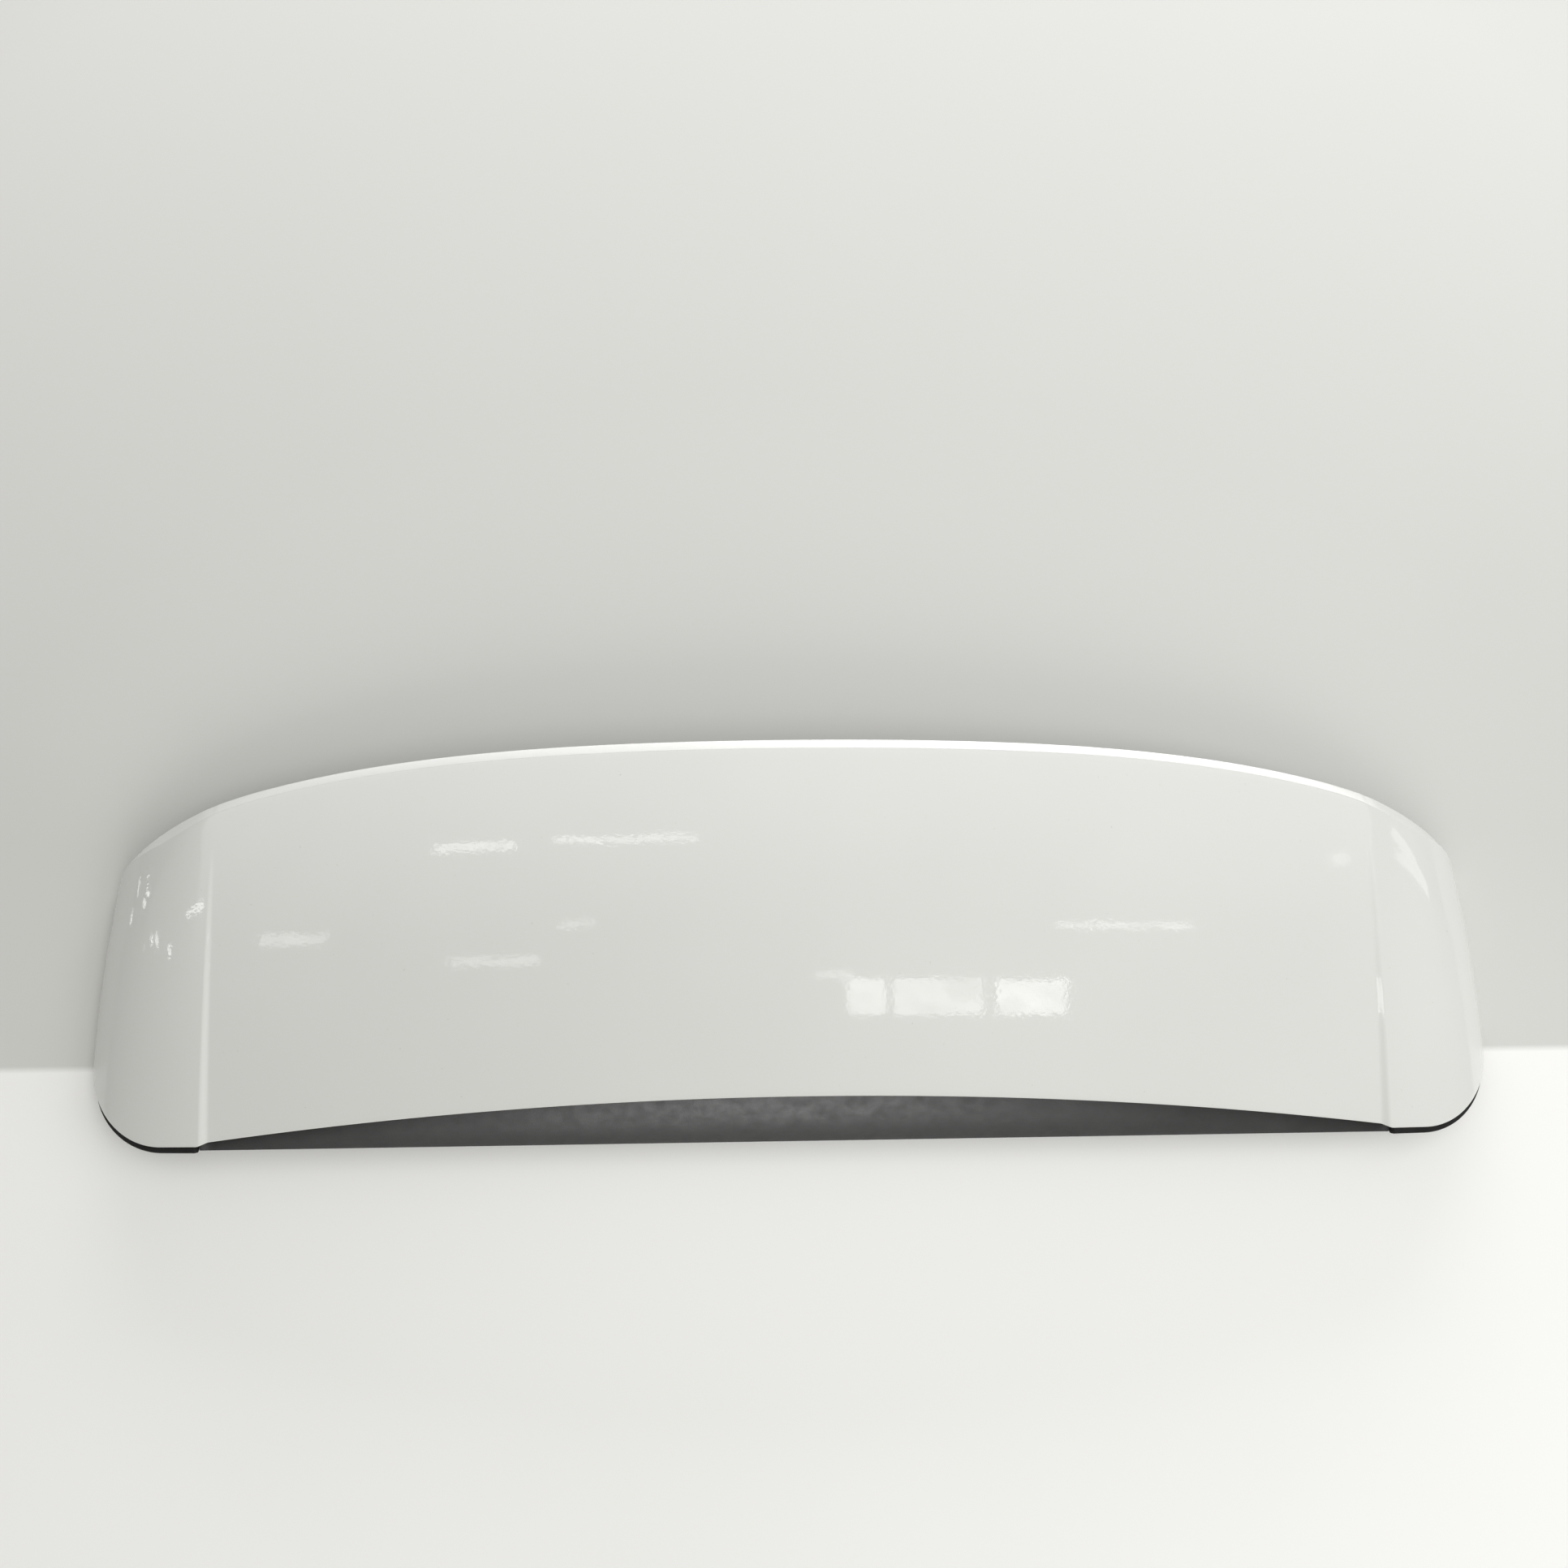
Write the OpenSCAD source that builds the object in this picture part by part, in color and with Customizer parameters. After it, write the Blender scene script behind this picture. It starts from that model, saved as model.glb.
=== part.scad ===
// Tailgate spoiler: a painted top shell over a black lower shell, fixed by studs that point down.
// It lies on the rims of its two ears. +X is across the car, +Y to the rear, +Z up.
// Lengths along Y in this section are counted back from the foremost point.

/* [Overall form] */
// Height of the crown above the ear rims
crown_h = 110; // [95:1:130]
// Radius of the crown across the car
crown_r = 3200; // [2400:50:6000]
// Half of the distance between the two roof channels
channel_x = 514; // [400:1:560]
// Width of an ear, from its channel to its rim
ear_w = 115.5; // [90:0.5:140]
// Place at which an ear has that width
ear_w_y = 110; // [80:5:140]
// Loss of that width over the next 100 mm to the rear, straight part
ear_taper = 5.65; // [0:0.05:12]
// Loss of that width over the next 100 mm to the rear, curved part
ear_bow = 4; // [0:0.5:8]
// Drop of the crown from its summit to 165 mm in front of it or behind it
camber = 8; // [2:0.5:14]
// Place of the summit of the crown
summit_y = 190; // [150:1:230]

/* [Leading edge] */
// Leading edge on the centre line
lead_y = 42; // [30:0.5:60]
// How far the leading edge bows back from the channels to the centre line
lead_bow = 32.5; // [10:0.5:40]
// Leading edge of an ear beside its channel
ear_lead_y = 6.2; // [4:0.1:12]
// Length of the rounded front corner of an ear
corner_l = 88.5; // [60:0.5:110]
// Share of the ear's width at which that corner starts
corner_start = 0.33; // [0.1:0.01:0.5]

/* [Trailing edge] */
// Trailing edge on the centre line
trail_y = 352; // [320:1:400]
// Sweep of the trailing edge at the channels, square part
trail_sweep2 = 18.6; // [5:0.1:40]
// Sweep of the trailing edge at the channels, fourth power part
trail_sweep4 = 27.4; // [5:0.1:40]
// Further sweep of the trailing edge round the ear
trail_corner = 42.4; // [20:0.2:60]
// Length of the chamfer along the trailing edge
chamfer_l = 10; // [4:0.5:16]
// Depth of the chamfer along the trailing edge
chamfer_d = 8; // [3:0.5:12]
// Height of the rear face below the chamfer
rear_face_h = 9; // [6:0.5:16]
// Depth of the return flange below the rear face
return_l = 11; // [8:0.5:16]

/* [Walls] */
// Thickness of the painted top shell
skin_t = 2.8; // [2:0.1:4]
// Depth of the flange along the leading edge
lead_flange = 6; // [4:0.5:9]
// Thickness of the lower shell
shell_t = 2.4; // [1.8:0.1:3.5]
// Adhesive gap between bonded pieces
glue_gap = 0.3; // [0.1:0.05:0.6]
// Height of the step at a roof channel, at the leading edge
channel_h = 3; // [1:0.1:5]
// Width of the step at a roof channel, at the leading edge
channel_w = 9.5; // [6:0.5:14]
// Drop of the surface behind the soft shoulder of an ear
shoulder_h = 1.6; // [0:0.1:3]

/* [Lower shell] */
// Foremost line of the nose
nose_y = 2.5; // [1:0.1:5]
// Depth of the land that lies on the tailgate, below the crown
land_drop = 62; // [60:0.5:66]
// Rear end of that land
land_end_y = 108; // [95:1:130]
// Width of the bonded flange under the leading edge
bond_w = 12; // [8:0.5:18]
// Depth of the stiffening beads behind the land
bead_h = 3; // [0:0.5:4]

/* [Mounting] */
// Distances of the studs from the centre line
stud_x = [150, 420];
// Place of the studs
stud_y = 62; // [50:1:80]
// Radius of a stud
stud_r = 3; // [2.5:0.5:4]
// Length of a stud below its plate
stud_l = 18; // [14:0.5:20]
// Width of a stud's plate, across the car
plate_w = 62; // [50:1:80]
// Length of a stud's plate
plate_l = 42; // [38:1:56]
// Thickness of a stud's plate
plate_t = 4.5; // [4:0.5:6]
// Corner radius of a stud's plate
plate_corner = 8; // [4:0.5:12]
// Distance of the locating pins from the centre line
locator_x = 290; // [200:5:360]
// Radius of a locating pin
locator_r = 4; // [3:0.5:5]
// Length of a locating pin below the land
locator_l = 16; // [10:0.5:18]
// Place of the ear clips, as a share of the ear's width
clip_share = 0.537; // [0.5:0.005:0.57]
// Place of the ear clips
clip_y = 150; // [130:1:180]
// Length of an ear clip's tower below its liner
tower_l = 15; // [12:0.5:18]
// Width of that tower, across the car
tower_w = 12; // [8:0.5:16]
// Length of that tower
tower_d = 16; // [10:0.5:20]
// Thickness of the clip's steel, with its spring gap
clip_t = 0.9; // [0.6:0.1:1.2]
// Height of the clip
clip_h = 9.5; // [8:0.5:11]

/* [Seals] */
// Thickness of the foam under the land
foam_t = 5; // [3:0.5:8]
// Width of the foam strip along the land
foam_w = 10; // [6:0.5:14]
// How far an ear's seal stands in front of its ear beside the channel
seal_reach = 5.5; // [2:0.5:6]
// Height of an ear's seal below the flange
seal_h = 4.5; // [3:0.5:6]
// Thickness of an ear's liner
liner_t = 2; // [1.6:0.1:3]
// Depth of the pan of an ear's liner
liner_depth = 11; // [6:0.5:13]

/* [Hidden] */
eps = 0.01;
mid_y = trail_y / 2;
land_z = crown_h - land_drop;
camber_half = 165;
ear_span = 100;
step_in = 5;
step_l = 12;
channel_end = 0.88;
shoulder_v = 0.4;
shoulder_t = 0.38;

function unit(a) = a / norm(a);
function clamp01(a) = max(0, min(1, a));
function smooth(a) = clamp01(a) * clamp01(a) * (3 - 2 * clamp01(a));

// A station v runs from -2 at the left rim through -1 and 1 at the channels to 2 at the right rim.
function ear_angle(v) = 90 * max(0, abs(v) - 1);
function ear_share(v) = sin(ear_angle(v));

function place_x(v) = channel_x * min(abs(v), 1) + ear_w * ear_share(v);

function front_y(v) =
    let (u = min(abs(v), 1), k = clamp01((ear_share(v) - corner_start) / (1 - corner_start)),
        middle = lead_y - lead_bow * u * u,
        ear = ear_lead_y + corner_l * (1 - sqrt(max(0, 1 - k * k))))
    middle + (ear - middle) * smooth((place_x(v) - channel_x + step_in) / step_l);

function chamfer_share(v) = 1 - 0.75 * smooth((abs(v) - 1) / 0.6);
function outline_y(v) =
    let (u = min(abs(v), 1), k = ear_share(v), slope = (2 * trail_sweep2 + 4 * trail_sweep4) / channel_x)
    trail_y - trail_sweep2 * u * u - trail_sweep4 * pow(u, 4)
        - 0.9 * slope * ear_w * k - trail_corner * (1 - pow(max(0, 1 - pow(k, 1.55)), 0.41));
function rear_y(v) = outline_y(v) - chamfer_l * chamfer_share(v);

function ear_width(y) =
    let (a = (y - ear_w_y) / ear_span)
    ear_w - ear_taper * a - ear_bow * a * a;
function camber_drop(y) = camber * pow((y - summit_y) / camber_half, 2);
function channel_step(v, x, t) =
    let (w = channel_w * (1 - 0.65 * t))
    channel_h * pow(clamp01(1 - t / channel_end), 0.8) * cos(ear_angle(v))
        * smooth((x - channel_x + w / 2) / w);

// Drop of the surface outside the shoulder, which runs from the end of the chamfer forwards down the ear
function shoulder(v, t) =
    let (a = max(0, abs(v) - 1) / shoulder_v, b = max(0, t - 1 + shoulder_t) / shoulder_t,
        past = pow(pow(a, 2.5) + pow(b, 2.5), 0.4) - 1)
    shoulder_h * (1 - exp(-max(0, past) / 0.25)) * smooth(2 * b) * cos(ear_angle(v));

// Point of the painted surface at station v and share t of the way back
function surf(v, t) =
    let (
        y = front_y(v) + t * (rear_y(v) - front_y(v)),
        xc = channel_x * min(abs(v), 1),
        w = ear_width(y),
        x = xc + w * ear_share(v),
        fall = channel_x / crown_r,
        ear_drop = crown_h - channel_x * channel_x / (2 * crown_r) - fall * w - camber_drop(y),
        z = crown_h - xc * xc / (2 * crown_r) - camber_drop(y) - fall * (x - xc)
            - ear_drop * (1 - cos(ear_angle(v))) + channel_step(v, x, t) - shoulder(v, t)
    )
    [sign(v) * x, y - mid_y, z];

function chord(v, t) = unit(surf(v, min(1, t + eps)) - surf(v, max(0, t - eps)));
function normal(v, t) =
    let (across = surf(v + eps, t) - surf(v - eps, t))
    unit(cross(across, chord(v, t)));

edge_round = 1.2;
seat_gap = 0.6;
lip_back = skin_t + edge_round + seat_gap / 2;
rows = 12;
cells = 16;
near_channel = [0.99, 1, 1.012, 1.02, 1.03, 1.045];
columns = concat(
    [for (i = [0:18]) -2 + i / 20], [for (i = [5:-1:0]) -near_channel[i]],
    [for (i = [1 - cells:cells - 1]) i / cells],
    near_channel, [for (i = [18:-1:0]) 2 - i / 20]);

function quad(a, b, c, d) = [[a, b, c], [a, c, d]];

// Solid between two layers of points, each a list of columns with the same number of rows
module sheet(outer, inner) {
    nc = len(outer);
    nr = len(outer[0]);
    function at(layer, c, r) = layer * nc * nr + c * nr + r;
    last_c = nc - 1;
    last_r = nr - 1;
    faces = concat(
        [for (c = [0:nc - 2], r = [0:nr - 2], f = concat(
            quad(at(0, c, r), at(0, c, r + 1), at(0, c + 1, r + 1), at(0, c + 1, r)),
            quad(at(1, c, r), at(1, c + 1, r), at(1, c + 1, r + 1), at(1, c, r + 1)))) f],
        [for (c = [0:nc - 2], f = concat(
            quad(at(0, c, 0), at(0, c + 1, 0), at(1, c + 1, 0), at(1, c, 0)),
            quad(at(0, c, last_r), at(1, c, last_r), at(1, c + 1, last_r), at(0, c + 1, last_r)))) f],
        [for (r = [0:nr - 2], f = concat(
            quad(at(0, 0, r), at(1, 0, r), at(1, 0, r + 1), at(0, 0, r + 1)),
            quad(at(0, last_c, r), at(0, last_c, r + 1), at(1, last_c, r + 1), at(1, last_c, r)))) f]);
    points = concat([for (c = outer, p = c) p], [for (c = inner, p = c) p]);
    polyhedron(points, faces, convexity = 8);
}

// Lower rear edge of the painted shell at station v, where the rear face meets the return flange
function rear_foot(v) =
    let (s = chamfer_share(v))
    surf(v, 1) + chord(v, 1) * chamfer_l * s - normal(v, 1) * (chamfer_d * s + rear_face_h);

function skin_outer(v) =
    let (
        nf = normal(v, 0), cf = chord(v, 0), front = surf(v, 0),
        nb = normal(v, 1), cb = chord(v, 1),
        foot = rear_foot(v),
        low = foot + nb * rear_face_h
    )
    concat(
        [front - nf * lead_flange, front - nf * edge_round, front + cf * edge_round],
        [for (i = [1:rows]) surf(v, i / rows)],
        [low, foot, foot - cb * return_l]);

function skin_inner(v) =
    let (
        nf = normal(v, 0), cf = chord(v, 0), front = surf(v, 0),
        nb = normal(v, 1), cb = chord(v, 1), back = surf(v, 1),
        s = chamfer_share(v),
        turn = atan2(chamfer_d, chamfer_l),
        foot = rear_foot(v),
        bend = back - nb * skin_t - cb * skin_t * tan(turn / 2),
        run = chamfer_l * s + skin_t * tan(turn / 2) - skin_t
    )
    concat(
        [front - nf * lead_flange + cf * skin_t, front - nf * (skin_t + edge_round) + cf * skin_t,
            front - nf * skin_t + cf * (skin_t + edge_round)],
        [for (i = [1:rows - 1]) surf(v, i / rows) - normal(v, i / rows) * skin_t],
        [bend, bend + cb * run - nb * run * tan(turn), foot - cb * skin_t + nb * skin_t,
            foot - cb * return_l + nb * skin_t]);

module outer_skin() {
    color("white")
    sheet([for (v = columns) skin_outer(v)], [for (v = columns) skin_inner(v)]);
}

// Height of the painted shell's inner face, less the adhesive, at station v and place y
function roof_z(v, y) =
    let (y0 = surf(v, 0)[1], y1 = surf(v, 1)[1])
    surf(v, clamp01((y - y0) / (y1 - y0)))[2] - (skin_t + glue_gap) / normal(v, 0.5)[2];

nose_edge_y = nose_y - mid_y;
nose_round = 2;
nose_land = 25;
apex_back = 5.5;
apex_bow = 4.5;
apex_round = 1.5;
land_rear_y = land_end_y - mid_y;
slope_rows = 7;

// Point p moved along the trailing edge to the place x across the car
function slide_to(p, v, x) =
    let (d = rear_foot(v + eps) - rear_foot(v - eps))
    p + d * (x - p[0]) / d[0];

// Beads lie in the middle of these cells, counted from the centre line; 1 on a bead's floor, 0 beside it
bead_cells = [2.5, 6.5, 11.5];
function has_bead(i) = len([for (b = bead_cells) if (b == abs(i + 0.5)) b]) > 0;
function bead(v) = max([for (b = bead_cells) clamp01((0.27 - abs(cells * abs(v) - b)) / 0.1)]);
function nose_bulge(from, to, k) = [0, -1, 1] * norm(to - from) * 0.24 * k * (1 - k);

// Outline of the lower shell's outer face at station v, from its front flange to its rear flange
function shell_outer(v) =
    let (
        x = sign(v) * place_x(v),
        lip_y = surf(v, 0)[1] + lip_back,
        lip = [x, lip_y, surf(v, 0)[2] - lead_flange - seat_gap],
        edge = [x, nose_edge_y, land_z + nose_round],
        foot = slide_to(rear_foot(v), v, x),
        cb = chord(v, 1),
        lift = [0, 0, skin_t + glue_gap],
        hook = foot - cb * (return_l + seat_gap),
        raised = hook + lift,
        tail = foot - cb * (skin_t + 2 * seat_gap) + lift
    )
    concat(
        [[x, lip_y + bond_w, roof_z(v, lip_y + bond_w)], [x, lip_y, roof_z(v, lip_y)], lip],
        [for (i = [1:2]) lip + (edge - lip) * i / 3 + nose_bulge(lip, edge, i / 3)],
        [edge, [x, nose_edge_y + nose_round, land_z], [x, nose_edge_y + nose_land, land_z],
            [x, land_rear_y, land_z]],
        [for (i = [1:slope_rows]) let (k = i / slope_rows)
            [x, land_rear_y + (hook[1] - land_rear_y) * k, land_z + (hook[2] - land_z) * smooth(k)
                + (i < slope_rows - 1 ? bead_h * bead(v) : 0)]],
        [raised, tail]);

// The same outline on the inner face
function shell_inner(v) =
    let (
        o = shell_outer(v), n = len(o), u = min(1, abs(v)),
        top = o[2] + [0, shell_t, -0.5 * shell_t],
        apex = [o[2][0], nose_edge_y + apex_back + apex_bow * u * u, land_z + shell_t],
        up = [0, 0, shell_t], in = [0, -shell_t, shell_t]
    )
    concat(
        [o[0] - up, o[1] + [0, shell_t, -shell_t]],
        [for (k = [0:3]) top + (apex - top) * k / 3 + nose_bulge(top, apex, k / 3)],
        [apex + [0, apex_round, 0], o[7] + up, o[8] + up],
        [for (i = [9:n - 4]) o[i] + up],
        [o[n - 3] + in, o[n - 2] + in, o[n - 1] + up]);

shell_end = 1.03;
shell_edge = [0.99, 1, 1.012, 1.02, shell_end];
shell_columns = concat(
    [for (i = [4:-1:0]) -shell_edge[i]],
    [for (i = [1 - cells:cells - 2], k = has_bead(i) ? [0, 0.23, 0.33, 0.67, 0.77] : [0]) (i + k) / cells],
    [1 - 1 / cells], shell_edge);

// Black shell: an open trough with a wall at each end, closed from above by the painted shell
module lower_shell() {
    nc = len(shell_columns);
    nr = len(shell_outer(0));
    nt = 6;
    wall_columns = [0, 1, nc - 2, nc - 1];
    function top_line(v) =
        let (o = shell_outer(v), y0 = o[0][1], y1 = o[nr - 1][1])
        [for (k = [1:nt]) let (y = y0 + (y1 - y0) * k / (nt + 1)) [o[0][0], y, roof_z(v, y)]];
    function ext(c, r) = c * nr + r;
    function int(c, r) = nc * nr + (c - 1) * nr + r;
    function top(w, k) = nc * nr + (nc - 2) * nr + w * nt + k;
    function flip(f) = [for (k = [len(f) - 1:-1:0]) f[k]];
    function top_row(w) =
        concat([ext(wall_columns[w], 0)], [for (k = [0:nt - 1]) top(w, k)], [ext(wall_columns[w], nr - 1)]);
    function end_cap(w) =
        concat([for (r = [0:nr - 1]) ext(wall_columns[w], r)], [for (k = [nt - 1:-1:0]) top(w, k)]);
    function inner_cap(w) =
        concat([for (r = [0:nr - 1]) int(wall_columns[w], r)], flip(top_row(w)));
    function top_strip(w) =
        let (a = top_row(w), b = top_row(w + 1))
        [for (k = [0:nt], f = quad(a[k], a[k + 1], b[k + 1], b[k])) f];
    faces = concat(
        [for (c = [0:nc - 2], r = [0:nr - 2],
            f = quad(ext(c, r), ext(c + 1, r), ext(c + 1, r + 1), ext(c, r + 1))) f],
        [for (c = [1:nc - 3], r = [0:nr - 2],
            f = quad(int(c, r), int(c, r + 1), int(c + 1, r + 1), int(c + 1, r))) f],
        [for (c = [1:nc - 3], f = quad(ext(c, 0), int(c, 0), int(c + 1, 0), ext(c + 1, 0))) f],
        [for (c = [1:nc - 3],
            f = quad(ext(c, nr - 1), ext(c + 1, nr - 1), int(c + 1, nr - 1), int(c, nr - 1))) f],
        top_strip(0), top_strip(2),
        [end_cap(0), inner_cap(2), flip(inner_cap(1)), flip(end_cap(3))]);
    points = concat(
        [for (v = shell_columns, p = shell_outer(v)) p],
        [for (c = [1:nc - 2], p = shell_inner(shell_columns[c])) p],
        [for (w = wall_columns, p = top_line(shell_columns[w])) p]);
    color("dimgray")
    polyhedron(points, faces, convexity = 8);
}

// Solid through closed rings of points, with flat ends
module tube(rings) {
    n = len(rings[0]);
    m = len(rings);
    faces = concat(
        [[for (k = [0:n - 1]) k]],
        [[for (k = [n - 1:-1:0]) (m - 1) * n + k]],
        [for (r = [0:m - 2], k = [0:n - 1], f = [
            [r * n + k, (r + 1) * n + k, (r + 1) * n + (k + 1) % n],
            [r * n + k, (r + 1) * n + (k + 1) % n, r * n + (k + 1) % n]]) f]);
    polyhedron([for (r = rings, p = r) p], faces, convexity = 6);
}

stud_place_y = stud_y - mid_y;
plate_top = land_z - glue_gap;
plate_z = plate_top - plate_t;
fit_gap = 0.15;
head_h = 2;
head_r = 8;
collar_w = 1;
collar_drop = 1.5;
tip_cone = 1.2;

// Plate bonded under the land, which traps the head of a stud
module stud_plate(x) {
    color("dimgray")
    translate([x, stud_place_y, 0])
    difference() {
        translate([0, 0, plate_z])
        linear_extrude(height = plate_t)
        rounded_plate(plate_w, plate_l, plate_corner);
        translate([0, 0, plate_z - 1]) cylinder(r = stud_r + collar_w + fit_gap, h = plate_t + 2, $fn = 48);
        translate([0, 0, plate_top - head_h - fit_gap]) cylinder(r = head_r + fit_gap, h = plate_t, $fn = 48);
    }
}

module rounded_plate(w, l, r) {
    square([w, l - 2 * r], center = true);
    square([w - 2 * r, l], center = true);
    for (i = [-1, 1], j = [-1, 1])
        translate([i * (w / 2 - r), j * (l / 2 - r)])
        circle(r = r, $fn = 32);
}

// Flanged stud, pointing down
module stud(x) {
    head_top = plate_top - fit_gap / 2;
    neck = head_top - head_h;
    tip = plate_z - stud_l;
    collar_r = stud_r + collar_w;
    collar_end = plate_z - collar_drop;
    color("silver")
    translate([x, stud_place_y, 0])
    rotate_extrude($fn = 48)
    polygon([[0, tip], [stud_r - 0.8 * tip_cone, tip], [stud_r, tip + tip_cone], [stud_r, collar_end],
        [collar_r, collar_end], [collar_r, neck], [head_r, neck], [head_r, head_top], [0, head_top]]);
}

ring_gap = 6;
ring_edge = 1;

// Foam ring round a stud, under its plate
module stud_seal(x) {
    inner = stud_r + ring_gap;
    outer = plate_l / 2 - ring_gap;
    color("black")
    translate([x, stud_place_y, plate_z - glue_gap - foam_t])
    rotate_extrude($fn = 48)
    polygon([[inner, 0], [outer - ring_edge, 0], [outer, ring_edge], [outer, foam_t], [inner, foam_t]]);
}

flange_h = 3;
pin_taper = 2;
pin_cone = 1.5;

// Moulded pin on a flange, which centres the spoiler on the tailgate
module locator(side) {
    color("dimgray")
    translate([side * locator_x, stud_place_y, 0]) {
        translate([0, 0, plate_top - flange_h]) cylinder(r = 3 * locator_r, h = flange_h, $fn = 48);
        translate([0, 0, plate_top - locator_l])
        cylinder(r = locator_r, h = locator_l - flange_h / 2, $fn = 48);
        translate([0, 0, plate_top - locator_l - pin_taper])
        cylinder(r1 = locator_r - pin_cone, r2 = locator_r, h = pin_taper, $fn = 48);
    }
}

foam_back = 9;
foam_inset = 24;

// Foam strip behind the nose, with a rounded underside
module land_seal() {
    half = channel_x - foam_inset;
    color("black")
    translate([-half, nose_edge_y + foam_back, land_z - glue_gap])
    rotate([90, 0, 90])
    linear_extrude(height = 2 * half)
    difference() {
        translate([foam_w / 2, 0]) circle(r = foam_w / 2, $fn = 32);
        translate([-1, 0]) square([foam_w + 2, foam_w]);
    }
}

// Station and share of the way back at the ear clip, and the height of the liner's lower face there
clip_x = channel_x + clip_share * ear_w;
clip_place_y = clip_y - mid_y;
clip_v = 1 + asin((clip_x - channel_x) / ear_width(clip_y)) / 90;
clip_q = (clip_y - front_y(clip_v)) / (rear_y(clip_v) - front_y(clip_v));
pan_z = surf(clip_v, clip_q)[2]
    - (skin_t + 2 * glue_gap + liner_depth + liner_t) / normal(clip_v, clip_q)[2];
tower_root = 7;

// Pan that lines an ear, bonded to the painted shell along its edges
module ear_liner(side) {
    liner_rows = 10;
    liner_cols = 10;
    function station(c) = 1.07 + 0.86 * c / liner_cols;
    function share(v, r) =
        let (a = surf(v, 0)[1] + lip_back + seat_gap, b = rear_foot(v)[1] - return_l - seat_gap,
            y0 = surf(v, 0)[1], y1 = surf(v, 1)[1])
        (a + (b - a) * r / liner_rows - y0) / (y1 - y0);
    function rise(k, n, steep) = smooth(steep * sin(180 * k / n) - 0.35);
    function depth(c, r, t) =
        skin_t + 2 * glue_gap + t + liner_depth * rise(c, liner_cols, 2.4) * rise(r, liner_rows, 3);
    function layer(t) = [for (c = [0:liner_cols]) let (v = station(side > 0 ? c : liner_cols - c))
        [for (r = [0:liner_rows]) let (q = share(v, r))
            surf(side * v, q) - normal(side * v, q) * depth(side > 0 ? c : liner_cols - c, r, t)]];
    color("dimgray")
    union() {
        sheet(layer(0), layer(liner_t));
        translate([side * clip_x, clip_place_y, pan_z - tower_l])
        translate([-tower_w / 2, -tower_d / 2, 0]) cube([tower_w, tower_d, tower_l + tower_root]);
    }
}

clip_play = 0.3;
clip_d = 0.75 * tower_d;

// Spring clip pushed over a tower
module ear_clip(side) {
    color("silver")
    translate([side * clip_x, clip_place_y, pan_z - tower_l])
    difference() {
        translate([-tower_w / 2 - clip_play - clip_t, -clip_d / 2, -clip_play - clip_t])
        cube([tower_w + 2 * clip_play + 2 * clip_t, clip_d, clip_h]);
        translate([-tower_w / 2 - clip_play, -clip_d, -clip_play])
        cube([tower_w + 2 * clip_play, 2 * clip_d, 2 * clip_h]);
    }
}

seal_edge = 1;
seal_start = 1.045;
seal_stop = 1.8;
seal_thin = 0.2;
seal_tip = 0.4;

// Rubber seal that wraps the flange of an ear's front rim
module ear_seal(side) {
    stations = concat([seal_start], [for (v = [1.1:0.05:seal_stop + eps]) v]);
    n_last = len(stations) - 1;
    function ring(v) =
        let (n = normal(v, 0), edge = surf(v, 0), out = unit(cross(surf(v + eps, 0) - surf(v - eps, 0), n)),
            k = (abs(v) - seal_start) / (seal_stop - seal_start),
            e = seal_edge, reach = seal_reach * (1 - seal_thin * k - seal_tip * pow(k, 8)), high = edge_round + seat_gap,
            under = lead_flange + glue_gap, low = under + seal_h,
            section = [[-skin_t, under], [glue_gap, under], [glue_gap, high], [reach - e, high],
                [reach, high + e], [reach, low - 2 * e], [reach - 1.5 * e, low], [e - skin_t, low],
                [-skin_t, low - e]])
        [for (p = section) edge + out * p[0] - n * p[1]];
    rings = [for (i = [0:n_last]) ring(side * stations[side > 0 ? i : n_last - i])];
    color("black")
    tube(rings);
}

outer_skin();
lower_shell();
ear_liner(-1);  // ear_liner_left
ear_liner(1);  // ear_liner_right
ear_seal(-1);  // ear_seal_left
ear_seal(1);  // ear_seal_right
land_seal();
locator(-1);  // locator_left
locator(1);  // locator_right
stud_plate(-stud_x[1]);  // stud_plate_left_outer
stud_plate(-stud_x[0]);  // stud_plate_left_inner
stud_plate(stud_x[0]);  // stud_plate_right_inner
stud_plate(stud_x[1]);  // stud_plate_right_outer
stud(-stud_x[1]);  // stud_left_outer
stud(-stud_x[0]);  // stud_left_inner
stud(stud_x[0]);  // stud_right_inner
stud(stud_x[1]);  // stud_right_outer
stud_seal(-stud_x[1]);  // stud_seal_left_outer
stud_seal(-stud_x[0]);  // stud_seal_left_inner
stud_seal(stud_x[0]);  // stud_seal_right_inner
stud_seal(stud_x[1]);  // stud_seal_right_outer
ear_clip(-1);  // ear_clip_left
ear_clip(1);  // ear_clip_right
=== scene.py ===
import math

import bmesh
import bpy
import numpy as np
from mathutils import Matrix, Vector


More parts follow.
